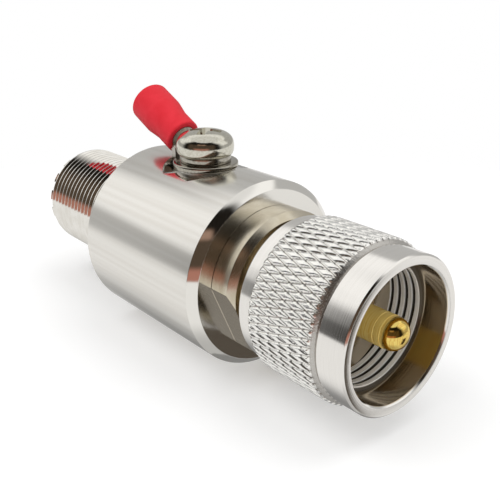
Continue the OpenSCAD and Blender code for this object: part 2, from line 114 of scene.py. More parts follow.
# Plug shell
PLUG_REAR, NOSE_FRONT = length_of("plug_shell")
NOSE_BORE_R, COLLAR_R = radii_of("plug_shell")
PLUG_CORE_R = 6.0
COLLAR_FRONT = 28.7
COLLAR_CHAMFER = 0.8
JOINT_LINE_W = 0.06
JOINT_LINE_DEPTH = 0.15
FLAT_AT = 8.15
FLAT_TURN = 23.6
NECK_R = 6.95
NECK_GROOVE_R = 6.4
NECK_GROOVE_W = 1.04
RING_MID = sum(length_of("nut_retaining_ring")) / 2
SHOULDER_X = 32.7
TOOTH_W = 1.4
TOOTH_H = 0.6
NOSE_R = 5.9

# Coupling nut
NUT_REAR, NUT_FRONT = length_of("coupling_nut")
LIP_BORE_R, KNURL_PEAK = radii_of("coupling_nut")
NUT_R = 9.4
NUT_LIP_L = 2.2
LIP_GROOVE_R = 7.5
LIP_GROOVE_W = 1.1
KNURL_START = 32.2
KNURL_END = 42.45
KNURL_ROOT = 9.71
KNURL_BASE = 9.15
KNURL_COUNT = 62
KNURL_ROWS = 3
KNURL_PILLOW = 4.5
BAND_REAR = 42.75
NUT_THREAD_X = 38.6
NUT_MINOR_R = 7.4
NUT_THREAD_DEPTH = 0.5
RELIEF_R = 8.05
COUNTERBORE_X = 42.9
COUNTERBORE_R = 8.0
MOUTH_BEVEL = 0.23
RIM_BEVEL = 0.2

# Pin, with a fine line and a neck behind its dome
PIN_REAR, PIN_TIP = length_of("center_pin")
_, PIN_FLANGE_R = radii_of("center_pin")
PIN_TAIL_R = 1.25
PIN_FLANGE_FRONT = 20.5
PIN_ROOT_R = 2.4
PIN_R = 2.0
PIN_LINE_X = 43.9
PIN_LINE_DEPTH = 0.05
PIN_NECK_X = 44.85
PIN_NECK_DEPTH = 0.25
DOME_L = 1.6
DOME_RISE = 1.7
DOME_R = 1.97

# Washers
WASHER_Z, WASHER_TOP = height_of("flat_washer")
_, WASHER_R = screw_radii_of("flat_washer")
WASHER_HOLE_R = 2.15
LOCK_Z, LOCK_TOP = height_of("lock_washer")
_, LOCK_R = screw_radii_of("lock_washer")
LOCK_HOLE_R = 2.1
LOCK_DISH = 0.04
LOCK_TURN = 110
LOCK_GAP = 0.6
LOCK_LEAN = 20

# Ground screw, with half lengths and half widths of its recess
POINT_Z, _ = height_of("ground_screw")
_, HEAD_R = screw_radii_of("ground_screw")
SCREW_R = 2.0
SCREW_THREAD_DEPTH = 0.4
SCREW_BEVEL = 0.45
LEAD = 0.7
HEAD_Z = LOCK_TOP
HEAD_H = 3.2
HEAD_EDGE = 1.0
HEAD_FOOT = 0.4
HEAD_POWER = 0.73
RECESS_DEPTH = 1.5
RECESS_TURN = 38
RECESS_FLOOR = (0.9, 0.36)
RECESS_MOUTH = (2.9, 0.66)

# Sleeve, measured along the wire barrel from its end at the tongue
BARREL_AT = (7.058, 0.0, 14.807)
BARREL_TILT = 25.4
SLEEVE_START = 0.05
SLEEVE_L = 9.0
SLEEVE_R = 2.525
SLEEVE_BORE_R = 1.72
SWELL_START = 3.05
SWELL_END = 5.25
FUNNEL_R = 2.9
FUNNEL_WALL = 0.55
FUNNEL_FLOOR = 5.6

# Camera at the photo's view
VIEW_AZ = math.radians(49.761)
VIEW_EL = math.radians(21.662)
VIEW_DISTANCE = 95.266
VIEW_AIM = Vector((21.223, 0.0, 2.418))
VIEW_LENS = 52.592
SENSOR = 36.0
view_back = Vector((
    math.sin(VIEW_AZ) * math.cos(VIEW_EL),
    -math.cos(VIEW_AZ) * math.cos(VIEW_EL),
    math.sin(VIEW_EL),
))
camera = bpy.data.objects.new("camera", bpy.data.cameras.new("camera"))
camera.data.lens = VIEW_LENS
camera.data.sensor_width = SENSOR
camera.data.clip_start = 0.005
camera.data.clip_end = 20.0
camera.location = (VIEW_AIM + view_back * VIEW_DISTANCE) * MM
camera.rotation_mode = "QUATERNION"
camera.rotation_quaternion = view_back.to_track_quat("Z", "Y")
scene.collection.objects.link(camera)
scene.camera = camera


# Node trees, written as expressions
class Wire:
    """A node's output that takes part in arithmetic: each expression adds its Math node."""

    def __init__(self, tree, socket):
        self.tree = tree
        self.socket = socket

    def math(self, operation, *values):
        return self.tree.node("ShaderNodeMath", {"operation": operation}, dict(enumerate(values)))

    def __add__(self, other):
        return self.math("ADD", self, other)

    __radd__ = __add__

    def __sub__(self, other):
        return self.math("SUBTRACT", self, other)

    def __rsub__(self, other):
        return self.math("SUBTRACT", other, self)

    def __mul__(self, other):
        return self.math("MULTIPLY", self, other)

    __rmul__ = __mul__

    def __truediv__(self, other):
        return self.math("DIVIDE", self, other)

    def __rtruediv__(self, other):
        return self.math("DIVIDE", other, self)

    def __pow__(self, other):
        return self.math("POWER", self, other)

    def __gt__(self, other):
        return self.math("GREATER_THAN", self, other)

    def __lt__(self, other):
        return self.math("LESS_THAN", self, other)

    def __mod__(self, other):
        return self.math("FLOORED_MODULO", self, other)

    def least(self, other):
        return self.math("MINIMUM", self, other)

    def most(self, other):
        return self.math("MAXIMUM", self, other)

    def floor(self):
        return self.math("FLOOR", self)

    def size(self):
        return self.math("ABSOLUTE", self)

    def sin(self):
        return self.math("SINE", self)

    def cos(self):
        return self.math("COSINE", self)

    def root(self):
        return self.math("SQRT", self)

    def angle(self, other):
        return self.math("ARCTAN2", self, other)

    def ramp(self, low, high):
        """0 below low, 1 above high and smooth between them."""
        return self.tree.node(
            "ShaderNodeMapRange",
            {"interpolation_type": "SMOOTHSTEP"},
            {"Value": self, "From Min": low, "From Max": high},
        )

    def fall(self, low, high):
        """1 below low, 0 above high and smooth between them."""
        return 1 - self.ramp(low, high)


class Tree:
    """A node tree with one way to add a node: its type, its settings, its sockets' values or links."""

    def __init__(self, group):
        self.group = group

    def node(self, kind, settings=None, sockets=None, out=0):
        made = self.group.nodes.new(kind)
        for name, value in (settings or {}).items():
            setattr(made, name, value)
        for key, value in (sockets or {}).items():
            if isinstance(value, Wire):
                self.group.links.new(value.socket, made.inputs[key])
            else:
                made.inputs[key].default_value = value
        return Wire(self, made.outputs[out]) if made.outputs else made

    def xyz(self, vector):
        return [self.node("ShaderNodeSeparateXYZ", {}, {0: vector}, i) for i in range(3)]

    def join(self, x, y, z):
        return self.node("ShaderNodeCombineXYZ", {}, {0: x, 1: y, 2: z})

    def tint(self, share, first, second):
        """The first colour where share is 0 and the second where it is 1."""
        return self.node("ShaderNodeMix", {"data_type": "RGBA"}, {0: share, 6: first, 7: second}, 2)

    def noise(self, vector, scale, detail=2.0, roughness=0.5):
        return self.node(
            "ShaderNodeTexNoise",
            {},
            {"Vector": vector, "Scale": scale, "Detail": detail, "Roughness": roughness},
        )

    def bump(self, height, strength, distance):
        """A normal from a height, with the distance in mm."""
        return self.node(
            "ShaderNodeBump", {}, {"Height": height, "Strength": strength, "Distance": distance * MM}
        )

    def ray(self, kind):
        """1 for rays of that kind."""
        return self.node("ShaderNodeLightPath", out=kind)


class Paint(Tree):
    """A material that starts with an empty node tree."""

    def __init__(self, name):
        self.material = bpy.data.materials.new(name)
        self.material.use_nodes = True
        super().__init__(self.material.node_tree)
        self.group.nodes.clear()

    def surface(self, shader):
        self.node("ShaderNodeOutputMaterial", {}, {"Surface": shader})
        return self.material


class Finish(Paint):
    """A surface finish: one Principled shader, and the object's own coordinates in mm."""

    def __init__(self, name):
        super().__init__(name)
        place = self.node("ShaderNodeTexCoord", out="Object")
        self.place = self.node(
            "ShaderNodeVectorMath", {"operation": "SCALE"}, {0: place, "Scale": 1 / MM}
        )

    def shade(self, **sockets):
        named = {key.replace("_", " ").title().replace("Ior", "IOR"): v for key, v in sockets.items()}
        return self.surface(self.node("ShaderNodeBsdfPrincipled", {}, named))


class TurnedFinish(Finish):
    """A finish on a turned piece, with the radius and the angle about the connector's axis."""

    def __init__(self, name):
        super().__init__(name)
        self.x, self.y, self.z = self.xyz(self.place)
        self.radius = (self.y * self.y + self.z * self.z).root()
        self.angle = self.z.angle(self.y)

    def rings(self, fine=5, wander=0.3, detail=2.0, roughness=0.5):
        """The fine rings that the turning tool leaves."""
        place = self.join(self.x * fine, self.radius * fine, self.angle * wander)
        return self.noise(place, 1.0, detail, roughness)

    def streaks(self, fine=40, along=0.12, deep=0.4):
        """Streaks along the axis: finer round it, and shorter where along is larger."""
        return self.noise(self.join(self.angle * fine, self.x * along, self.radius * deep), 1.6)


def colour(r, g, b):
    """A colour given in 0 to 255 as a screen shows it, as linear light."""
    def linear(c):
        c = c / 255
        return c / 12.92 if c <= 0.04045 else ((c + 0.055) / 1.055) ** 2.4

    return (linear(r), linear(g), linear(b), 1.0)


# Finishes
def socket_nickel(name):
    """Bright nickel on a turned thread, with the tool's fine rings."""
    f = TurnedFinish(name)
    ring = f.rings()
    cloud = f.noise(f.place, 0.5)
    base = f.tint(cloud.ramp(0.3, 0.7), colour(244, 242, 237), colour(234, 231, 224))
    rough = 0.07 + (ring - 0.5) * 0.06
    return f.shade(base_color=base, metallic=1.0, roughness=rough, normal=f.bump(ring, 1.0, 0.0015))


def collar_nickel(name):
    """Satin nickel with faint streaks, its darker olive tone a painted dark reflection; the two milled
    flats are a little rougher and painted darker as a painted reflection, with a painted highlight
    along their rear edge.
    """
    f = TurnedFinish(name)
    ring = f.rings()
    streak = f.streaks()
    cloud = f.noise(f.place, 0.5)
    turn = math.radians(FLAT_TURN)
    across = (f.y * math.cos(turn) + f.z * math.sin(turn)).size()
    milled = across.ramp(FLAT_AT - 0.04, FLAT_AT - 0.02)
    # Painted highlight: a thin pale line along the flats' rear edge
    edge = f.x.fall(BODY_L + 0.06, BODY_L + 0.09)
    # Painted reflection: the turned collar is tinted a darker olive than the other nickel
    turned = f.tint(cloud.ramp(0.3, 0.7), colour(222, 214, 196), colour(208, 199, 178))
    # Painted reflection: the flats are painted dark, apart from that pale line
    flat = f.tint(edge, colour(120, 112, 99), colour(214, 204, 186))
    base = f.tint(milled, turned, flat)
    rough = 0.23 + (ring - 0.5) * 0.05 + (streak - 0.5) * 0.05 + milled * 0.05
    tooled = f.bump(ring * 0.001 + streak * 0.0004, 1.0, 1.0)
    return f.shade(base_color=base, metallic=1.0, roughness=rough, normal=tooled)


def body_nickel(name):
    """Nickel, brushed satin along the tube and glossy with the tool's fine rings on its faces."""
    f = TurnedFinish(name)
    rear_r = BODY_R - REAR_CHAMFER
    front_x = BODY_L - FRONT_CHAMFER
    outside = f.radius.ramp(rear_r - 0.1, rear_r + 0.05)
    tube = f.x.fall(front_x - 0.02, front_x + 0.02) * outside
    face = f.x.ramp(BODY_L - 0.12, BODY_L - 0.05)
    streak = f.streaks(60, 0.008)
    broad = f.streaks(7, 0.006, 0.0)
    ring = f.rings()
    base = f.tint(broad.ramp(0.35, 0.7) * tube, colour(243, 241, 236), colour(234, 231, 225))
    rough = 0.08 + (streak - 0.5) * 0.08 * tube + (ring - 0.5) * 0.03 + tube * 0.1 + face * 0.06
    tooled = f.bump(streak * tube * 0.0008 + ring * (1 - tube) * 0.0015, 1.0, 1.0)
    return f.shade(base_color=base, metallic=1.0, roughness=rough.most(0.03), normal=tooled)


def nut_nickel(name):
    """Bright nickel with faint rings outside, and the wall of the bore darkened and browned with
    painted shade.
    """
    f = TurnedFinish(name)
    ring = f.rings()
    streak = f.streaks()
    # Painted shade: everything inside the counterbore's radius is darker and browner
    bore = f.radius.fall(COUNTERBORE_R + 0.02, COUNTERBORE_R + 0.1)
    outside = f.tint(ring, colour(249, 247, 244), colour(239, 236, 231))
    base = f.tint(bore, outside, colour(205, 190, 166))
    rough = 0.12 + (ring - 0.5) * 0.05 + (streak - 0.5) * 0.05
    tooled = f.bump(ring * 0.004 + streak * 0.001, 1.0, 1.0)
    return f.shade(base_color=base, metallic=1.0, roughness=rough, normal=tooled)


def thread_nickel(name):
    """Satin lands of the nut's thread, and grooves darkened with painted shade."""
    f = TurnedFinish(name)
    ring = f.rings(6, 0.4)
    # Painted shade: dark towards the root of each groove
    deep = f.radius.ramp(NUT_MINOR_R + 0.04, NUT_MINOR_R + 0.2)
    pale = f.tint(ring, colour(250, 248, 244), colour(238, 235, 229))
    base = f.tint(deep, pale, colour(70, 64, 56))
    rough = 0.22 + ring * 0.1
    return f.shade(base_color=base, metallic=0.25, roughness=rough, normal=f.bump(ring, 0.3, 0.02))


def knurled_nickel(name):
    """Nickel over rolled diamonds: the crests are burnished, and the grooves are half darkened with
    painted shade.
    """
    f = TurnedFinish(name)
    grain = f.noise(f.place, 5.0)
    # Painted shade: the grooves between the diamonds are darker
    deep = f.radius.fall(KNURL_ROOT, KNURL_ROOT + 0.08)
    base = f.tint(deep * 0.5, colour(254, 253, 250), colour(120, 112, 101))
    rough = 0.12 + grain * 0.08 + deep * 0.1
    return f.shade(base_color=base, metallic=0.96, roughness=rough, normal=f.bump(grain, 0.5, 0.04))


def plated_steel(name, pale, dull):
    """Nickel-plated steel of the screw and washers: greyer, with a rolled grain."""
    f = Finish(name)
    grain = f.noise(f.place, 3.5, 4.0, 0.6)
    base = f.tint(grain.ramp(0.3, 0.75), pale, dull)
    rough = 0.07 + grain * 0.07
    return f.shade(base_color=base, metallic=1.0, roughness=rough, normal=f.bump(grain, 0.12, 0.03))


def gold_plate(name):
    """Gold plate on turned brass, polished on the pin's dome and satin behind it."""
    f = TurnedFinish(name)
    ring = f.rings(8, 0.5, 3.0, 0.6)
    dome_x = PIN_TIP - DOME_L
    satin = f.x.fall(dome_x - 0.2, dome_x - 0.05)
    base = f.tint(ring.ramp(0.35, 0.75), colour(246, 220, 128), colour(226, 178, 84))
    metal = 1 - satin * 0.8
    rough = 0.05 + ring * 0.06 + satin * 0.12
    return f.shade(base_color=base, metallic=metal, roughness=rough, normal=f.bump(ring, 0.2, 0.02))


def sheet_metal(name, pale, dull, satin):
    """Plated sheet or wire with a fine mottled grain."""
    f = Finish(name)
    grain = f.noise(f.place, 2.6, 4.0, 0.65)
    base = f.tint(grain.ramp(0.3, 0.75), pale, dull)
    rough = satin + grain * 0.12
    return f.shade(base_color=base, metallic=1.0, roughness=rough, normal=f.bump(grain, 0.15, 0.04))


def red_vinyl(name):
    """Soft matte vinyl with a slight bloom and moulding ripples."""
    f = Finish(name)
    cloud = f.noise(f.place, 0.55, 3.0, 0.6)
    grain = f.noise(f.place, 9.0)
    base = f.tint(cloud.ramp(0.3, 0.7), colour(215, 33, 47), colour(222, 43, 57))
    rough = 0.5 + cloud * 0.18
    rippled = f.bump(cloud * 0.35 + grain * 0.3, 0.15, 0.06)
    return f.shade(base_color=base, roughness=rough, specular_ior_level=0.35, normal=rippled)


def pale_solid(name, pale, warm, satin, scale):
    """Machined insulator or fired ceramic: a pale body with faint mottling and tool marks."""
    f = Finish(name)
    cloud = f.noise(f.place, scale, 4.0, 0.6)
    base = f.tint(cloud.ramp(0.3, 0.75), pale, warm)
    return f.shade(base_color=base, roughness=satin + cloud * 0.12, normal=f.bump(cloud, 0.15, 0.05))


BODY_NICKEL = body_nickel("satin_nickel")
SOCKET_NICKEL = socket_nickel("bright_nickel")
COLLAR_NICKEL = collar_nickel("collar_nickel")
NUT_NICKEL = nut_nickel("nut_nickel")
THREAD_NICKEL = thread_nickel("thread_nickel")
KNURL_NICKEL = knurled_nickel("knurled_nickel")
SCREW_STEEL = plated_steel("screw_steel", colour(222, 220, 208), colour(205, 201, 188))
# Painted shade and painted dark reflection: the washers get a darker copy of the screw's plated steel
SHADED_WASHER_STEEL = plated_steel("washer_steel", colour(184, 180, 170), colour(160, 155, 144))
GOLD = gold_plate("gold_plate")
SPRING = sheet_metal("spring_steel", colour(180, 180, 182), colour(150, 150, 152), 0.25)
TINNED = sheet_metal("tinned_copper", colour(222, 220, 214), colour(196, 190, 180), 0.28)
VINYL = red_vinyl("red_vinyl")
FLUOROPOLYMER = pale_solid("fluoropolymer", colour(240, 238, 232), colour(230, 226, 216), 0.38, 0.9)
CERAMIC = pale_solid("tube_ceramic", colour(240, 228, 222), colour(226, 210, 204), 0.55, 1.8)


# Meshes
def new_piece(name):
    """An empty piece at the origin."""
    piece = bpy.data.objects.new(name, bpy.data.meshes.new(name))
    scene.collection.objects.link(piece)
    return piece


@contextmanager
def edited(piece):
    """The piece's mesh, open for edits that it keeps at the end."""
    bm = bmesh.new()
    bm.from_mesh(piece.data)
    yield bm
    bm.to_mesh(piece.data)
    bm.free()


def eased(corners, steps=4):
    """A closed outline whose corners (along, radius, round) become arcs of that radius."""
    line = []
    count = len(corners)
    for i, (a, r, ease) in enumerate(corners):
        here = Vector((a, r))
        if ease == 0:
            line.append(here)
            continue
        before = (Vector(corners[i - 1][:2]) - here).normalized()
        after = (Vector(corners[(i + 1) % count][:2]) - here).normalized()
        half = before.angle(after) / 2
        reach = ease / math.tan(half)
        middle = here + (before + after).normalized() * (ease / math.sin(half))
        start = here + before * reach - middle
        end = here + after * reach - middle
        line += [middle + start.slerp(end, k / steps) * ease for k in range(steps + 1)]
    return line


def angles(first, last, step):
    """Angles in radians, from first to before last in degrees."""
    return [math.radians(a) for a in range(first, last, step)]


def lathe(name, outline, around, axis="X"):
    """Turns a closed outline of (along, radius) points in mm round the axis into a closed mesh."""
    turns = [TURN * k / around for k in range(around)]
    piece = new_piece(name)
    with edited(piece) as bm:
        rings = []
        for a, r in outline:
            if r < 1e-6:
                rings.append([bm.verts.new((a * MM, 0, 0))])
                continue
            rings.append([
                bm.verts.new((a * MM, r * MM * math.cos(t), r * MM * math.sin(t))) for t in turns
            ])
        for ring, other in zip(rings, rings[1:] + rings[:1]):
            if len(ring) == 1 and len(other) == 1:
                continue
            for k in range(around):
                n = (k + 1) % around
                near = [ring[k % len(ring)], ring[n % len(ring)]]
                far = [other[n % len(other)], other[k % len(other)]]
                bm.faces.new(list(dict.fromkeys(near + far)))
        bmesh.ops.recalc_face_normals(bm, faces=bm.faces)
        if axis == "Z":
            bmesh.ops.transform(bm, matrix=UPRIGHT, verts=bm.verts)
    return piece


def settled(piece):
    """Turns the piece's modifiers into its plain mesh."""
    graph = bpy.context.evaluated_depsgraph_get()
    mesh = bpy.data.meshes.new_from_object(piece.evaluated_get(graph))
    piece.modifiers.clear()
    old = piece.data
    piece.data = mesh
    bpy.data.meshes.remove(old)
    return piece


def cut(piece, cutter, operation="DIFFERENCE", crossing=False):
    """Cuts the cutter out of the piece and removes it. A crossing cutter runs through itself."""
    tool = piece.modifiers.new("cut", "BOOLEAN")
    tool.operation = operation
    tool.solver = "EXACT"
    tool.use_self = crossing
    tool.object = cutter
    settled(piece)
    bpy.data.objects.remove(cutter)
    return piece


def block(low, high, turn):
    """A box between two corners in mm, turned by degrees about the connector's axis."""
    size = Vector(high) - Vector(low)
    middle = (Vector(high) + Vector(low)) / 2
    place = Matrix.Translation(middle * MM) @ Matrix.Diagonal((*(size * MM), 1.0))
    piece = new_piece("block")
    with edited(piece) as bm:
        bmesh.ops.create_cube(bm, size=1.0)
        turned = Matrix.Rotation(math.radians(turn), 4, "X") @ place
        bmesh.ops.transform(bm, matrix=turned, verts=bm.verts)
    return piece


def at_screw(piece, z=0.0):
    """Moves a piece that was made round Z to the ground screw's axis."""
    piece.data.transform(Matrix.Translation((SCREW_X * MM, 0, z * MM)))
    return piece


def drill(radius, low, high, around):
    """A cylinder on the ground screw's axis, between two heights."""
    outline = [(low, 0), (low, radius), (high, radius), (high, 0)]
    return at_screw(lathe("drill", outline, around, "Z"))


def joined(name, *pieces):
    """Several meshes as one piece."""
    whole = new_piece(name)
    with edited(whole) as bm:
        for piece in pieces:
            bm.from_mesh(piece.data)
            bpy.data.objects.remove(piece)
    return whole


def dressed(piece, material, sharp=32.0):
    """Smooth shading with crisp corners, normals led by the large faces, and one finish."""
    piece.data.shade_smooth()
    piece.data.set_sharp_from_angle(angle=math.radians(sharp))
    lean = piece.modifiers.new("lean", "WEIGHTED_NORMAL")
    lean.keep_sharp = True
    settled(piece)
    piece.data.materials.clear()
    piece.data.materials.append(material)
    return piece


def added(piece, name, body):
    """Names the piece and gives it its body."""
    piece.name = name
    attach(piece, body)
    return piece


def stands_for(piece, node, body):
    """The piece takes a construction node's place on its body."""
    added(piece, "look_" + node, body)
    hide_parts(node)
    return piece


def softened(node, edge, material):
    """A copy of a construction node with its faces merged and its edges broken."""
    piece = new_piece(node)
    with edited(piece) as bm:
        bm.from_mesh(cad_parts[node].data)
        bmesh.ops.remove_doubles(bm, verts=bm.verts, dist=0.0005 * MM)
        bmesh.ops.dissolve_limit(bm, angle_limit=math.radians(0.6), verts=bm.verts, edges=bm.edges)
        corners = [e for e in bm.edges if e.is_manifold and e.calc_face_angle(0.0) > math.radians(25)]
        bmesh.ops.bevel(
            bm, geom=corners, offset=edge * MM, segments=2, profile=0.5, affect="EDGES",
            clamp_overlap=True,
        )
    return dressed(piece, material)


# Node trees for what repeats
NUMBER, COUNT, MATERIAL = "NodeSocketFloat", "NodeSocketInt", "NodeSocketMaterial"


def shape_tree(name, *inputs):
    """An empty geometry tree with named inputs, and a dict of their wires."""
    group = bpy.data.node_groups.new(name, "GeometryNodeTree")
    group.interface.new_socket("Geometry", in_out="INPUT", socket_type="NodeSocketGeometry")
    for label, kind in inputs:
        group.interface.new_socket(label, in_out="INPUT", socket_type=kind)
    group.interface.new_socket("Geometry", in_out="OUTPUT", socket_type="NodeSocketGeometry")
    tree = Tree(group)
    entry = group.nodes.new("NodeGroupInput")
    wires = {socket.name: Wire(tree, socket) for socket in entry.outputs if socket.name}
    return tree, wires


def close_tree(tree, geometry, material):
    """Ends a tree in Realize Instances and Set Material."""
    real = tree.node("GeometryNodeRealizeInstances", {}, {0: geometry})
    painted = tree.node("GeometryNodeSetMaterial", {}, {"Geometry": real, "Material": material})
    tree.node("NodeGroupOutput", {}, {0: painted})
    return tree


def thread_tree():
    """A helical thread: four rows of points to a turn, at both edges of the crest and of the root."""
    tree, given = shape_tree(
        "helical_thread", ("Turns", COUNT), ("Around", COUNT), ("Start", NUMBER), ("Pitch", NUMBER),
        ("Crest radius", NUMBER), ("Root radius", NUMBER), ("Crest share", NUMBER),
        ("Root share", NUMBER), ("Finish", MATERIAL),
    )
    crest, root = given["Crest share"], given["Root share"]
    columns = given["Around"] + 1
    rows = given["Turns"] * 4 + 1
    grid = tree.node("GeometryNodeMeshGrid", {}, {"Vertices X": rows, "Vertices Y": columns})
    index = tree.node("GeometryNodeInputIndex")
    row = ((index + 0.5) / columns).floor()
    column = (index + 0.5 - row * columns).floor()
    step = row % 4
    flank = (1 - crest - root) / 2
    phase = (step > 0.5) * crest + (step > 1.5) * flank + (step > 2.5) * root
    lead = column / given["Around"]
    x = given["Start"] + given["Pitch"] * ((row / 4 + 0.01).floor() + phase + lead)
    low = step > 1.5
    radius = given["Crest radius"] + (given["Root radius"] - given["Crest radius"]) * low
    turn = lead * TURN
    place = tree.join(x, radius * turn.cos(), radius * turn.sin())
    wound = tree.node("GeometryNodeSetPosition", {}, {"Geometry": grid, "Position": place})
    welded = tree.node("GeometryNodeMergeByDistance", {}, {"Geometry": wound, "Distance": 1e-6})
    return close_tree(tree, welded, given["Finish"])


def knurl_tree():
    """Rolled diamonds: a grid along both groove directions, wrapped round the nut and raised."""
    tree, given = shape_tree(
        "diamond_knurl", ("Around", COUNT), ("Rows", COUNT), ("Cuts", COUNT), ("Start", NUMBER),
        ("End", NUMBER), ("Peak radius", NUMBER), ("Root radius", NUMBER), ("Foot radius", NUMBER),
        ("Slope", NUMBER), ("Pillow", NUMBER), ("Finish", MATERIAL),
    )
    around, cuts, start, end = (given[key] for key in ("Around", "Cuts", "Start", "End"))
    peak, root, foot = (given[key + " radius"] for key in ("Peak", "Root", "Foot"))
    along = around + given["Rows"] * 2 + 2
    rows = along * cuts + 1
    columns = around * cuts + 1
    grid = tree.node("GeometryNodeMeshGrid", {}, {"Vertices X": rows, "Vertices Y": columns})
    index = tree.node("GeometryNodeInputIndex")
    row = ((index + 0.5) / columns).floor()
    first = row / cuts
    second = (index + 0.5 - row * columns).floor() / cuts
    sheared = tree.join(first, second, 0.0)
    flat = tree.node("GeometryNodeSetPosition", {}, {"Geometry": grid, "Position": sheared})
    first, second, _ = tree.xyz(tree.node("GeometryNodeInputPosition"))
    reach = first - second - 1
    outside = (reach < -0.5).most(reach > given["Rows"] * 2 + 0.5)
    strip = tree.node(
        "GeometryNodeDeleteGeometry", {"domain": "FACE"}, {"Geometry": flat, "Selection": outside}
    )
    x = start + (end - start) * reach / (given["Rows"] * 2)
    turn = (first + second) / around * (TURN / 2)

    def off_groove(value):
        """0 in a groove and 1 midway between two of them."""
        return 1 - ((value % 1) * 2 - 1).size()

    rise = off_groove(first).least(off_groove(second))
    rounded = 1 - (1 - rise) ** given["Pillow"]
    diamond = root + (peak - root) * rounded
    rear = foot + (x - start) * given["Slope"]
    front = foot + (end - x) * given["Slope"]
    radius = diamond.least(rear).least(front)
    place = tree.join(x, radius * turn.cos(), radius * turn.sin())
    rolled = tree.node("GeometryNodeSetPosition", {}, {"Geometry": strip, "Position": place})
    welded = tree.node("GeometryNodeMergeByDistance", {}, {"Geometry": rolled, "Distance": 2e-6})
    return close_tree(tree, welded, given["Finish"])


def slot_tree():
    """Boxes set round the connector's axis and cut out of the piece."""
    tree, given = shape_tree(
        "slots_round_axis", ("Count", COUNT), ("Length", NUMBER), ("Width", NUMBER),
        ("Height", NUMBER), ("Middle", NUMBER), ("Radius", NUMBER), ("Finish", MATERIAL),
    )
    size = tree.join(given["Length"], given["Width"], given["Height"])
    box = tree.node("GeometryNodeMeshCube", {}, {"Size": size})
    line = tree.node(
        "GeometryNodeMeshLine", {}, {"Count": given["Count"], "Offset": (0.0, 0.0, 0.0)}
    )
    turn = tree.node("GeometryNodeInputIndex") / given["Count"] * TURN
    radius = given["Radius"]
    place = tree.join(given["Middle"], radius * turn.sin() * -1, radius * turn.cos())
    ring = tree.node("GeometryNodeSetPosition", {}, {"Geometry": line, "Position": place})
    boxes = tree.node(
        "GeometryNodeInstanceOnPoints",
        {},
        {"Points": ring, "Instance": box, "Rotation": tree.join(turn, 0.0, 0.0)},
    )
    cutters = tree.node("GeometryNodeRealizeInstances", {}, {0: boxes})
    opened = tree.node(
        "GeometryNodeMeshBoolean",
        {"operation": "DIFFERENCE", "solver": "EXACT"},
        {"Mesh 1": given["Geometry"], "Mesh 2": cutters},
    )
    return close_tree(tree, opened, given["Finish"])


THREAD = thread_tree()
KNURL = knurl_tree()
SLOTS = slot_tree()


def grown(piece, tree, **sizes):
    """Runs a tree on a piece with the named sizes and keeps the plain mesh."""
    shape = piece.modifiers.new("shape", "NODES")
    shape.node_group = tree.group
    values = {key.replace("_", " ").lower(): v for key, v in sizes.items()}
    for socket in tree.group.interface.items_tree:
        if socket.in_out == "INPUT" and socket.name.lower() in values:
            shape[socket.identifier] = values[socket.name.lower()]
    return settled(piece)


def threaded(name, around, start, turns, pitch, crest_r, depth, crest_share, root_share, finish):
    """A sleeve of helical thread in mm, to be trimmed, with a minus depth on an outer thread."""
    return grown(
        new_piece(name), THREAD, around=around, start=start * MM, turns=turns, pitch=pitch * MM,
        crest_radius=crest_r * MM, root_radius=(crest_r + depth) * MM, crest_share=crest_share,
        root_share=root_share, finish=finish,
    )


def trimmed(piece, low, high):
    """Keeps the part of a sleeve between two planes across the axis, in mm."""
    with edited(piece) as bm:
        for at, side in ((low, -1), (high, 1)):
            bmesh.ops.bisect_plane(
                bm, geom=[*bm.verts, *bm.edges, *bm.faces], dist=1e-8, plane_co=(at * MM, 0, 0),
                plane_no=(side, 0, 0), clear_outer=True,
            )
    return piece


def rims(bm, at, slack=0.2):
    """Open edges of a sleeve that lie near the plane x = at."""
    def near(edge):
        return all(abs(v.co.x / MM - at) < slack for v in edge.verts)

    return [e for e in bm.edges if e.is_boundary and near(e)]


def carried_on(bm, edges, stations):
    """Carries an open rim on through rings at (x, radius) in mm, and returns the last ring's edges."""
    for a, r in stations:
        made = bmesh.ops.extrude_edge_only(bm, edges=edges)["geom"]
        for v in (g for g in made if isinstance(g, bmesh.types.BMVert)):
            flat = Vector((0, v.co.y, v.co.z)).normalized() * (r * MM)
            v.co = Vector((a * MM, flat.y, flat.z))
        edges = [g for g in made if isinstance(g, bmesh.types.BMEdge)]
    return edges


def coned(piece, at, radius, slope):
    """Chamfers a thread: no point stands above a cone that has that radius at x = at."""
    for v in piece.data.vertices:
        limit = (radius + abs(v.co.x / MM - at) * slope) * MM
        reach = math.hypot(v.co.y, v.co.z)
        if reach > limit:
            v.co.y *= limit / reach
            v.co.z *= limit / reach
    return piece


# Pieces
def body_shell():
    """Tube body with chamfered ends, a spot face and the screw's hole."""
    body = lathe("body", eased([
        (0, BORE_R, 0.05), (0, BODY_R - REAR_CHAMFER, 0.1), (REAR_CHAMFER, BODY_R, 0.12),
        (BODY_L - FRONT_CHAMFER, BODY_R, 0.1), (BODY_L, BODY_R - FRONT_CHAMFER, 0.08),
        (BODY_L, SEAT_R, 0), (BODY_L - SEAT_L, SEAT_R, 0), (BODY_L - SEAT_L, BORE_R, 0),
    ]), 256)
    cut(body, drill(SPOT_R, SPOT_Z, BODY_R + OVERCUT, 128))
    cut(body, drill(SCREW_HOLE_R, 0, BODY_R, 64))
    dressed(body, BODY_NICKEL)
    stands_for(body, "body_shell", "arrestor")


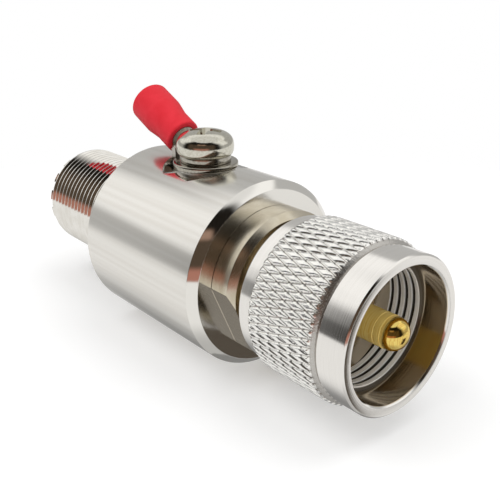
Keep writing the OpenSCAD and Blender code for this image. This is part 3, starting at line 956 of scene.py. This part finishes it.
def socket_shell():
    """Socket with its thread, stepped bore and notched rim."""
    socket = threaded(
        "socket", around=128, start=SOCKET_END - 1.3, turns=22, pitch=PITCH, crest_r=THREAD_R,
        depth=-THREAD_DEPTH, crest_share=0.15, root_share=0.18, finish=SOCKET_NICKEL,
    )
    coned(socket, SOCKET_END, THREAD_R - THREAD_BEVEL, 0.42)
    trimmed(socket, SOCKET_END, 0)
    with edited(socket) as bm:
        inner = carried_on(bm, rims(bm, SOCKET_END), [
            (SOCKET_END, MOUTH_R + MOUTH_EASE), (SOCKET_END + MOUTH_EASE, MOUTH_R),
            (INSULATOR_X, MOUTH_R), (INSULATOR_X, LIP_R), (LIP_BACK, LIP_R), (LIP_BACK, CORE_R),
            (SHANK_L, CORE_R), (SHANK_L, SHANK_R), (0, SHANK_R),
        ])
        bmesh.ops.bridge_loops(bm, edges=inner + [e for e in rims(bm, 0) if e not in inner])
        bmesh.ops.recalc_face_normals(bm, faces=bm.faces)
    grown(
        socket, SLOTS, count=NOTCHES, length=(NOTCH_DEPTH + OVERCUT) * MM, width=NOTCH_W * MM,
        height=NOTCH_H * MM, middle=(SOCKET_END + (NOTCH_DEPTH - OVERCUT) / 2) * MM,
        radius=NOTCH_AT * MM, finish=SOCKET_NICKEL,
    )
    dressed(socket, SOCKET_NICKEL, 25)
    stands_for(socket, "socket_shell", "arrestor")


def plug_shell():
    """Collar with two wrench flats, neck with the ring's groove, toothed shoulder and nose."""
    line_x, line_r = BODY_L + JOINT_LINE_W, COLLAR_R - JOINT_LINE_DEPTH
    groove_rear, groove_front = RING_MID - NECK_GROOVE_W / 2, RING_MID + NECK_GROOVE_W / 2
    plug = lathe("plug", eased([
        (PLUG_REAR, PLUG_CORE_R, 0), (PLUG_REAR, SHANK_R, 0.1), (BODY_L - SEAT_L, SHANK_R, 0),
        (BODY_L - SEAT_L, SEAT_R, 0), (BODY_L, SEAT_R, 0), (BODY_L, line_r, 0), (line_x, line_r, 0),
        (line_x, COLLAR_R, 0.02), (COLLAR_FRONT - COLLAR_CHAMFER, COLLAR_R, 0.08),
        (COLLAR_FRONT, COLLAR_R - COLLAR_CHAMFER, 0.08), (COLLAR_FRONT, NECK_R, 0),
        (groove_rear, NECK_R, 0), (groove_rear, NECK_GROOVE_R, 0), (groove_front, NECK_GROOVE_R, 0),
        (groove_front, NECK_R, 0), (SHOULDER_X, NECK_R, 0.05), (SHOULDER_X, NOSE_R, 0),
        (NOSE_FRONT, NOSE_R, 0.1), (NOSE_FRONT, NOSE_BORE_R, 0.08), (COLLAR_FRONT, NOSE_BORE_R, 0),
        (COLLAR_FRONT, PLUG_CORE_R, 0),
    ]), 192)
    # The flats' cutter passes the collar's ends a little, so that no two faces coincide
    for side in (0, 180):
        milled = block(
            (BODY_L - 0.02, FLAT_AT, -COLLAR_R),
            (COLLAR_FRONT + 0.3, COLLAR_R + OVERCUT, COLLAR_R),
            FLAT_TURN + side,
        )
        cut(plug, milled)
        tooth = block(
            (SHOULDER_X - TOOTH_H, -TOOTH_W / 2, NOSE_R - 0.3),
            (SHOULDER_X + TOOTH_H, TOOTH_W / 2, NECK_R - 0.05),
            side,
        )
        cut(plug, tooth, "UNION")
    dressed(plug, COLLAR_NICKEL)
    stands_for(plug, "plug_shell", "arrestor")


def nut_shell():
    """Coupling nut without its diamonds and thread: smooth bands, mouth, relief and grooved lip."""
    lip_front = NUT_REAR + NUT_LIP_L
    groove_rear, groove_front = RING_MID - LIP_GROOVE_W / 2, RING_MID + LIP_GROOVE_W / 2
    shell = lathe("shell", eased([
        (NUT_REAR, LIP_BORE_R, 0.1), (NUT_REAR, NUT_R, 0.25), (KNURL_START, NUT_R, 0),
        (KNURL_START, KNURL_BASE, 0), (BAND_REAR, KNURL_BASE, 0.1), (BAND_REAR, NUT_R, 0.12),
        (NUT_FRONT - RIM_BEVEL, NUT_R, 0.06), (NUT_FRONT, NUT_R - RIM_BEVEL, 0.06),
        (NUT_FRONT, COUNTERBORE_R + MOUTH_BEVEL, 0.06),
        (NUT_FRONT - MOUTH_BEVEL, COUNTERBORE_R, 0.06), (COUNTERBORE_X, COUNTERBORE_R, 0),
        (COUNTERBORE_X, RELIEF_R, 0), (lip_front, RELIEF_R, 0.1), (lip_front, LIP_BORE_R, 0.1),
        (groove_front, LIP_BORE_R, 0), (groove_front, LIP_GROOVE_R, 0),
        (groove_rear, LIP_GROOVE_R, 0), (groove_rear, LIP_BORE_R, 0),
    ]), 192)
    dressed(shell, NUT_NICKEL)
    stands_for(shell, "coupling_nut", "coupling_nut")


def nut_knurl():
    """Rolled diamonds round the nut, with end walls that reach into its shell."""
    low, high = KNURL_START - 0.05, KNURL_END + 0.15
    diamonds = grown(
        new_piece("diamonds"), KNURL, around=KNURL_COUNT, rows=KNURL_ROWS, cuts=8,
        start=KNURL_START * MM, end=(KNURL_END + 0.1) * MM, peak_radius=KNURL_PEAK * MM,
        root_radius=KNURL_ROOT * MM, foot_radius=(NUT_R - 0.1) * MM, slope=1.5, pillow=KNURL_PILLOW,
        finish=KNURL_NICKEL,
    )
    trimmed(diamonds, low, high)
    dressed(diamonds, KNURL_NICKEL, 40)
    with edited(diamonds) as bm:
        for at in (low, high):
            carried_on(bm, rims(bm, at), [(at, KNURL_BASE - 0.1)])
    added(diamonds, "look_nut_knurl", "coupling_nut")


def nut_thread():
    """Inner thread of the nut, with end walls out to its relief."""
    thread = threaded(
        "thread", around=128, start=NUT_THREAD_X - 1.5, turns=6, pitch=PITCH, crest_r=NUT_MINOR_R,
        depth=NUT_THREAD_DEPTH, crest_share=0.5, root_share=0.16, finish=THREAD_NICKEL,
    )
    trimmed(thread, NUT_THREAD_X, COUNTERBORE_X)
    with edited(thread) as bm:
        for at in (NUT_THREAD_X, COUNTERBORE_X):
            carried_on(bm, rims(bm, at), [(at, RELIEF_R)])
        bmesh.ops.reverse_faces(bm, faces=bm.faces)
    dressed(thread, THREAD_NICKEL, 25)
    added(thread, "look_nut_thread", "coupling_nut")


def center_pin():
    """Gilt pin: tail, flange, a fine line, a neck and the domed tip."""
    line_r, neck_r = PIN_R - PIN_LINE_DEPTH, PIN_R - PIN_NECK_DEPTH
    outline = eased([
        (PIN_REAR, PIN_TAIL_R, 0.05), (PLUG_REAR, PIN_TAIL_R, 0), (PLUG_REAR, PIN_FLANGE_R, 0.05),
        (PIN_FLANGE_FRONT, PIN_FLANGE_R, 0.05), (PIN_FLANGE_FRONT, PIN_ROOT_R, 0),
        (NOSE_FRONT, PIN_ROOT_R, 0.05), (NOSE_FRONT, PIN_R, 0.03), (PIN_LINE_X, PIN_R, 0.02),
        (PIN_LINE_X + 0.04, line_r, 0), (PIN_LINE_X + 0.12, line_r, 0),
        (PIN_LINE_X + 0.16, PIN_R, 0.02), (PIN_NECK_X, PIN_R, 0.05),
        (PIN_NECK_X + 0.05, PIN_R - 0.1, 0), (PIN_NECK_X + 0.15, PIN_R - 0.1, 0),
        (PIN_NECK_X + 0.18, neck_r, 0.03), (PIN_NECK_X + 0.45, neck_r, 0.05),
    ])
    outline += [
        Vector((PIN_TIP - DOME_RISE * (1 - math.sin(a)), DOME_R * math.cos(a)))
        for a in angles(0, 90, 5)
    ]
    outline += [Vector((PIN_TIP, 0)), Vector((PIN_REAR, 0))]
    pin = dressed(lathe("pin", outline, 128), GOLD)
    stands_for(pin, "center_pin", "arrestor")


def screw_head():
    """Pan head, with a rounded foot and a dome that flattens towards the middle."""
    foot_r = HEAD_R - HEAD_FOOT
    dome_z, dome_h = HEAD_Z + HEAD_EDGE, HEAD_H - HEAD_EDGE
    outline = [Vector((HEAD_Z, 0)), Vector((HEAD_Z, foot_r))]
    outline += [
        Vector((HEAD_Z + HEAD_EDGE * (1 - math.cos(a)), foot_r + HEAD_FOOT * math.sin(a) ** 0.8))
        for a in angles(10, 91, 10)
    ]
    outline += [
        Vector((dome_z + dome_h * math.sin(a) ** HEAD_POWER, HEAD_R * math.cos(a) ** HEAD_POWER))
        for a in angles(1, 4, 2) + angles(6, 90, 6)
    ]
    outline += [Vector((HEAD_Z + HEAD_H, 0))]
    return lathe("head", outline, 128, "Z")


def cross_tool():
    """A tapered cross, wide at the top, for the screw's recess."""
    top = HEAD_Z + HEAD_H
    levels = ((top - RECESS_DEPTH, *RECESS_FLOOR), (top + 0.5, *RECESS_MOUTH))
    sides = ((3, 2, 1, 0), (4, 5, 6, 7), (0, 1, 5, 4), (1, 2, 6, 5), (2, 3, 7, 6), (3, 0, 4, 7))
    cross = new_piece("cross")
    with edited(cross) as bm:
        for turn in (RECESS_TURN, RECESS_TURN + 90):
            spin = Matrix.Rotation(math.radians(turn), 3, "Z")
            corners = []
            for z, half, wide in levels:
                for a, b in ((-half, -wide), (half, -wide), (half, wide), (-half, wide)):
                    corners.append(bm.verts.new((spin @ Vector((a, b, z))) * MM))
            for side in sides:
                bm.faces.new([corners[k] for k in side])
        bmesh.ops.recalc_face_normals(bm, faces=bm.faces)
    return cross


def screw_shank():
    """Threaded shank with a chamfered point, made along X and then stood up."""
    shank = threaded(
        "shank", around=64, start=POINT_Z - 0.9, turns=11, pitch=LEAD, crest_r=SCREW_R,
        depth=-SCREW_THREAD_DEPTH, crest_share=0.15, root_share=0.15, finish=SCREW_STEEL,
    )
    coned(shank, POINT_Z, SCREW_R - SCREW_BEVEL, 1.0)
    trimmed(shank, POINT_Z, HEAD_Z - 0.05)
    with edited(shank) as bm:
        carried_on(bm, rims(bm, POINT_Z), [(POINT_Z, 0.3), (POINT_Z, 0.0)])
        carried_on(bm, rims(bm, HEAD_Z - 0.05), [(HEAD_Z + 0.1, SCREW_R - 0.2)])
        bmesh.ops.remove_doubles(bm, verts=bm.verts, dist=1e-7)
        bmesh.ops.recalc_face_normals(bm, faces=bm.faces)
        bmesh.ops.transform(bm, matrix=UPRIGHT, verts=bm.verts)
    return shank


def ground_screw():
    """Pan head with a cross recess, and a threaded shank."""
    head = cut(screw_head(), cross_tool(), crossing=True)
    screw = at_screw(joined("screw", head, screw_shank()))
    dressed(screw, SCREW_STEEL, 28)
    stands_for(screw, "ground_screw", "ground_screw")


def flat_washer():
    """Large plain washer with a rounded upper edge."""
    flat = lathe("flat", eased([
        (WASHER_Z, WASHER_HOLE_R, 0.08), (WASHER_Z, WASHER_R, 0.1), (WASHER_TOP, WASHER_R, 0.22),
        (WASHER_TOP, WASHER_HOLE_R, 0.15),
    ]), 128, "Z")
    dressed(at_screw(flat), SHADED_WASHER_STEEL)
    stands_for(flat, "flat_washer", "screw_washers")


def lock_washer():
    """Spring washer with a leaning split."""
    lock = at_screw(lathe("lock", eased([
        (LOCK_Z + LOCK_DISH, LOCK_HOLE_R, 0.1), (LOCK_Z, LOCK_R, 0.14), (LOCK_TOP, LOCK_R, 0.14),
        (LOCK_TOP - LOCK_DISH, LOCK_HOLE_R, 0.1),
    ]), 128, "Z"))
    tall = LOCK_TOP - LOCK_Z + OVERCUT
    split = block((0, -LOCK_GAP / 2, -tall), (LOCK_R + OVERCUT, LOCK_GAP / 2, tall), LOCK_LEAN)
    split.data.transform(Matrix.Rotation(math.radians(LOCK_TURN), 4, "Z"))
    cut(lock, at_screw(split, (LOCK_Z + LOCK_TOP) / 2))
    dressed(lock, SHADED_WASHER_STEEL)
    stands_for(lock, "lock_washer", "screw_washers")


def terminal_sleeve():
    """Red sleeve over the wire barrel, with a flared wire end."""
    end = SLEEVE_START + SLEEVE_L
    outline = eased([
        (SLEEVE_START, SLEEVE_BORE_R, 0.1), (SLEEVE_START, SLEEVE_R, 0.3),
        (SWELL_START, SLEEVE_R, 2.4), (SWELL_END, FUNNEL_R, 2.6), (end, FUNNEL_R, 0.3),
        (end, FUNNEL_R - FUNNEL_WALL, 0.22), (FUNNEL_FLOOR, SLEEVE_BORE_R, 0.4),
    ], 8)
    sleeve = lathe("sleeve", outline, 96, "Z")
    lean = Matrix.Rotation(math.radians(BARREL_TILT - 90), 4, "Y")
    sleeve.data.transform(Matrix.Translation(Vector(BARREL_AT) * MM) @ lean)
    dressed(sleeve, VINYL)
    stands_for(sleeve, "terminal_sleeve", "arrestor")


MADE = (
    body_shell, socket_shell, plug_shell, nut_shell, nut_knurl, nut_thread, center_pin, ground_screw,
    flat_washer, lock_washer, terminal_sleeve,
)
for make in MADE:
    make()

# Pieces that keep their construction, with broken edges
SOFTENED = (
    ("ring_terminal", 0.06, TINNED, "tinned_copper"),
    ("socket_contact", 0.05, GOLD, "gold_plate"),
    ("socket_insulator", 0.08, FLUOROPOLYMER, "insulator"),
    ("plug_insulator", 0.08, FLUOROPOLYMER, "insulator"),
)
for node, edge, material, slot in SOFTENED:
    stands_for(softened(node, edge, material), node, "arrestor")

# Inner pieces that are only painted
HIDDEN = {
    "nut_retaining_ring": SPRING,
    "tube_disc_spring": SPRING,
    "inner_conductor": GOLD,
    "tube_carrier": FLUOROPOLYMER,
    "tube_ceramic": CERAMIC,
    "tube_upper_electrode": SCREW_STEEL,
    "tube_lower_electrode": SCREW_STEEL,
}
for node, material in HIDDEN.items():
    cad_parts[node].data.materials.clear()
    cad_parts[node].data.materials.append(material)

# Studio: the table and the lamps in millimetres, the room by its directions
TABLE_X = 18.0
TABLE_R = 110.0
TABLE_WHITE = (0.86, 0.86, 0.86, 1.0)
TABLE_LIFT = 0.2
ROOM_AZ = math.radians(-53)
FRONT_AZ = math.radians(38)
FILL = (0.62, 0.62, 0.62, 1.0)
WALL = (1.0, 0.99, 0.97, 1.0)
NIGHT = (0.010, 0.008, 0.006, 1.0)
BROWN = (0.080, 0.056, 0.038, 1.0)
ROSE = (0.34, 0.22, 0.16, 1.0)
COPPER = (0.42, 0.19, 0.14, 1.0)
SHADED_FLOOR = (0.075, 0.060, 0.045, 1.0)


def background_share(tree):
    """1 for rays that look at the background: from the camera, off gloss or through glass."""
    seen = [tree.ray(kind) for kind in ("Is Camera Ray", "Is Glossy Ray", "Is Transmission Ray")]
    return seen[0].most(seen[1]).most(seen[2])


def white_table():
    """A matte white that is lifted a little where a ray looks at the background."""
    paint = Paint("white_table")
    matte = paint.node("ShaderNodeBsdfDiffuse", {}, {"Color": TABLE_WHITE})
    lift = background_share(paint) * TABLE_LIFT
    glow = paint.node("ShaderNodeEmission", {}, {"Color": WHITE, "Strength": lift})
    return paint.surface(paint.node("ShaderNodeAddShader", {}, {0: matte, 1: glow}))


def table():
    """Round table top that the body rests on."""
    top = new_piece("table")
    with edited(top) as bm:
        bmesh.ops.create_circle(bm, cap_ends=True, radius=TABLE_R * MM, segments=96)
        bmesh.ops.translate(bm, verts=bm.verts, vec=(TABLE_X * MM, 0, -BODY_R * MM))
    top.data.materials.append(white_table())
    top.visible_glossy = False


def studio_room():
    """What the metal mirrors: a dark room on the camera's side, pale walls behind and a pale floor."""
    world = bpy.data.worlds.new("studio")
    scene.world = world
    world.use_nodes = True
    sky = Tree(world.node_tree)
    sky.group.nodes.clear()
    dx, dy, dz = sky.xyz(sky.node("ShaderNodeTexCoord", out="Generated"))
    flat_length = (dx * dx + dy * dy).root().most(0.001)

    def towards(azimuth):
        """1 where the ray heads for the azimuth and -1 where it heads away."""
        return (dx * math.cos(azimuth) + dy * math.sin(azimuth)) / flat_length

    facing = towards(ROOM_AZ)
    above = (dz + facing * 0.04).ramp(-0.12, -0.08)

    # Dark room: brown below, a rose patch above it and copper along its foot
    room = (facing - (dz - 0.4).most(0.0) * 0.8).ramp(-0.05, 0.40) * above * dz.fall(0.82, 0.88)
    brown = dz.fall(0.42, 0.62) * facing.ramp(0.45, 0.7)
    rose = facing.ramp(0.92, 0.97) * dz.ramp(0.45, 0.53) * dz.fall(0.58, 0.66)
    copper = dz.fall(0.0, 0.12) * facing.ramp(0.8, 0.95)
    dark = sky.tint(brown, NIGHT, BROWN)
    dark = sky.tint(rose, dark, ROSE)
    dark = sky.tint(copper, dark, COPPER)

    # Pale walls: brighter beside the dark room and overhead
    near_side = facing.ramp(-0.6, -0.42) * dz.ramp(0.14, 0.26)
    bright = (near_side * 0.93).most(dz.ramp(0.60, 0.68)) * (1 - dz.ramp(0.78, 0.86) * 0.4)
    walls = 0.48 + bright * 0.5

    # Pale floor: darker far behind, straight below and in front of the plug
    behind = dz.fall(-0.62, -0.42) * facing.fall(-0.95, -0.1)
    below = dz.fall(-0.98, -0.72)
    floor = 0.84 - (behind * 0.6).most(below * 0.35)
    front = towards(FRONT_AZ).ramp(0.965, 0.99) * dz.fall(-0.41, -0.33) * dz.ramp(-0.78, -0.68)

    pale = sky.tint(above * walls + (1 - above) * floor, BLACK, WALL)
    mirrored = sky.tint(front, sky.tint(room, pale, dark), SHADED_FLOOR)
    lit = sky.tint(sky.ray("Is Glossy Ray"), FILL, mirrored)
    seen = sky.tint(sky.ray("Is Camera Ray"), lit, WHITE)
    backdrop = sky.node("ShaderNodeBackground", {}, {"Color": seen, "Strength": 1.0})
    sky.node("ShaderNodeOutputWorld", {}, {"Surface": backdrop})


def soft_lamp(name, place, aim, size, power):
    """A round lamp that lights the pieces and isn't mirrored in them."""
    lamp = bpy.data.lights.new(name, "AREA")
    lamp.shape = "DISK"
    lamp.size = size * MM
    lamp.energy = power
    light = bpy.data.objects.new(name, lamp)
    light.location = Vector(place) * MM
    light.rotation_mode = "QUATERNION"
    light.rotation_quaternion = (Vector(aim) - Vector(place)).to_track_quat("-Z", "Y")
    light.visible_glossy = False
    scene.collection.objects.link(light)


table()
studio_room()
soft_lamp("key_lamp", (-50, -220, 380), (15, 0, 0), 300, 0.55)
soft_lamp("top_lamp", (100, 120, 400), (15, 0, 0), 300, 0.35)
soft_lamp("front_lamp", (380, -140, 120), (45, 0, 0), 250, 0.40)
